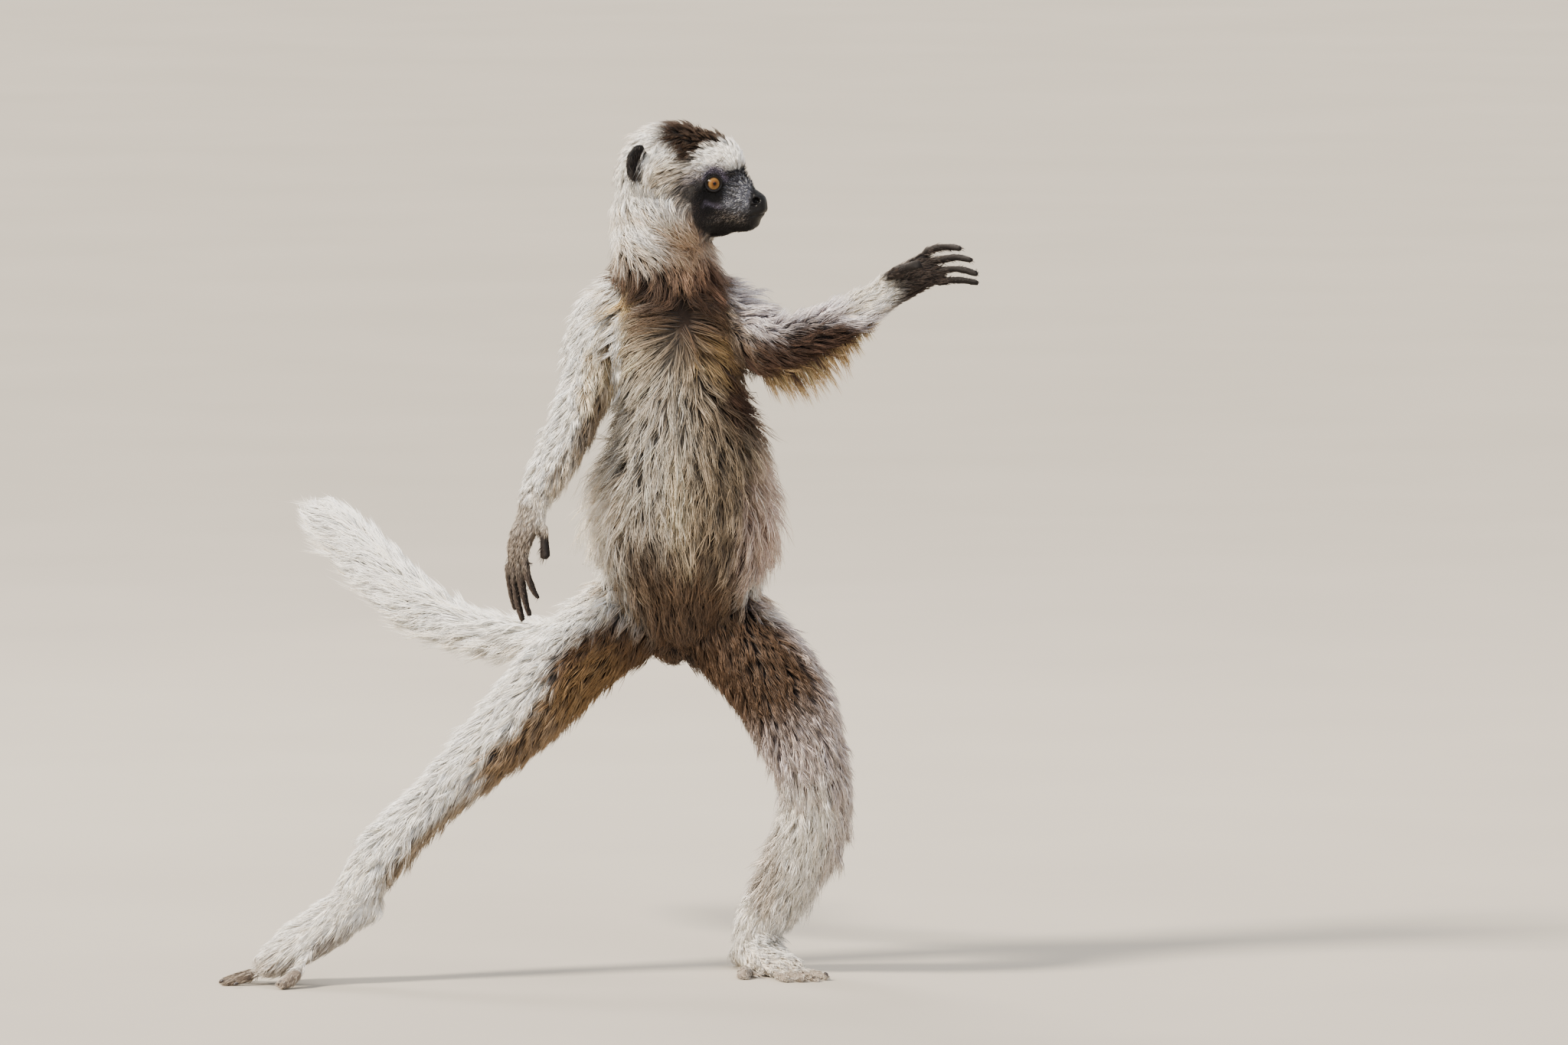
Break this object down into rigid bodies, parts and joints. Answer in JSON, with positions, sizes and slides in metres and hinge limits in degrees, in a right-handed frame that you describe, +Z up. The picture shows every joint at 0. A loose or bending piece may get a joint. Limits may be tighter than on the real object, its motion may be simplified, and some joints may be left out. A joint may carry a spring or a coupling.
{
  "type": "verreaux's sifaka",
  "caption": "Life-size still model of a sifaka in mid sideways step: upright on its hind legs, arms out, head turned, long furry tail trailing behind.",
  "frame": {"origin": "middle of the bounding box, on the floor", "axes": "+Z up, -Y the way the chest faces, +X the way the head looks"},
  "size_m": [0.6198, 0.4702, 0.7021],
  "materials": {
    "white_coat": "silky long fur",
    "grey_coat": "long soft fur with pale tips",
    "brown_coat": "soft fur",
    "bare_skin": "fine-grained bare skin with short hairs",
    "nose_skin": "moist pebbled skin",
    "eye": "wet gloss"
  },
  "bodies": {
    "root": {"belly": "grey_coat", "chest": "grey_coat", "ear_left": "bare_skin", "ear_right": "bare_skin", "eye_left": "eye", "eye_right": "eye", "finger_1_left": "bare_skin", "finger_1_right": "bare_skin", "finger_2_left": "bare_skin", "finger_2_right": "bare_skin", "finger_3_left": "bare_skin", "finger_3_right": "bare_skin", "finger_4_left": "bare_skin", "finger_4_right": "bare_skin", "finger_5_left": "bare_skin", "finger_5_right": "bare_skin", "foot_left": "white_coat", "foot_right": "white_coat", "forearm_left": "white_coat", "forearm_right": "white_coat", "hand_left": "grey_coat", "hand_right": "grey_coat", "head": "white_coat", "hips": "grey_coat", "muzzle": "bare_skin", "neck": "brown_coat", "nose": "nose_skin", "shank_left": "white_coat", "shank_right": "white_coat", "tail_1": "white_coat", "tail_2": "white_coat", "tail_3": "white_coat", "tail_4": "white_coat", "thigh_left": "white_coat", "thigh_right": "white_coat", "toe_1_left": "bare_skin", "toe_1_right": "bare_skin", "toe_2_left": "bare_skin", "toe_2_right": "bare_skin", "toe_3_left": "bare_skin", "toe_3_right": "bare_skin", "toe_4_left": "bare_skin", "toe_4_right": "bare_skin", "toe_5_left": "bare_skin", "toe_5_right": "bare_skin", "upper_arm_left": "white_coat", "upper_arm_right": "white_coat"}
  },
  "joints": []
}
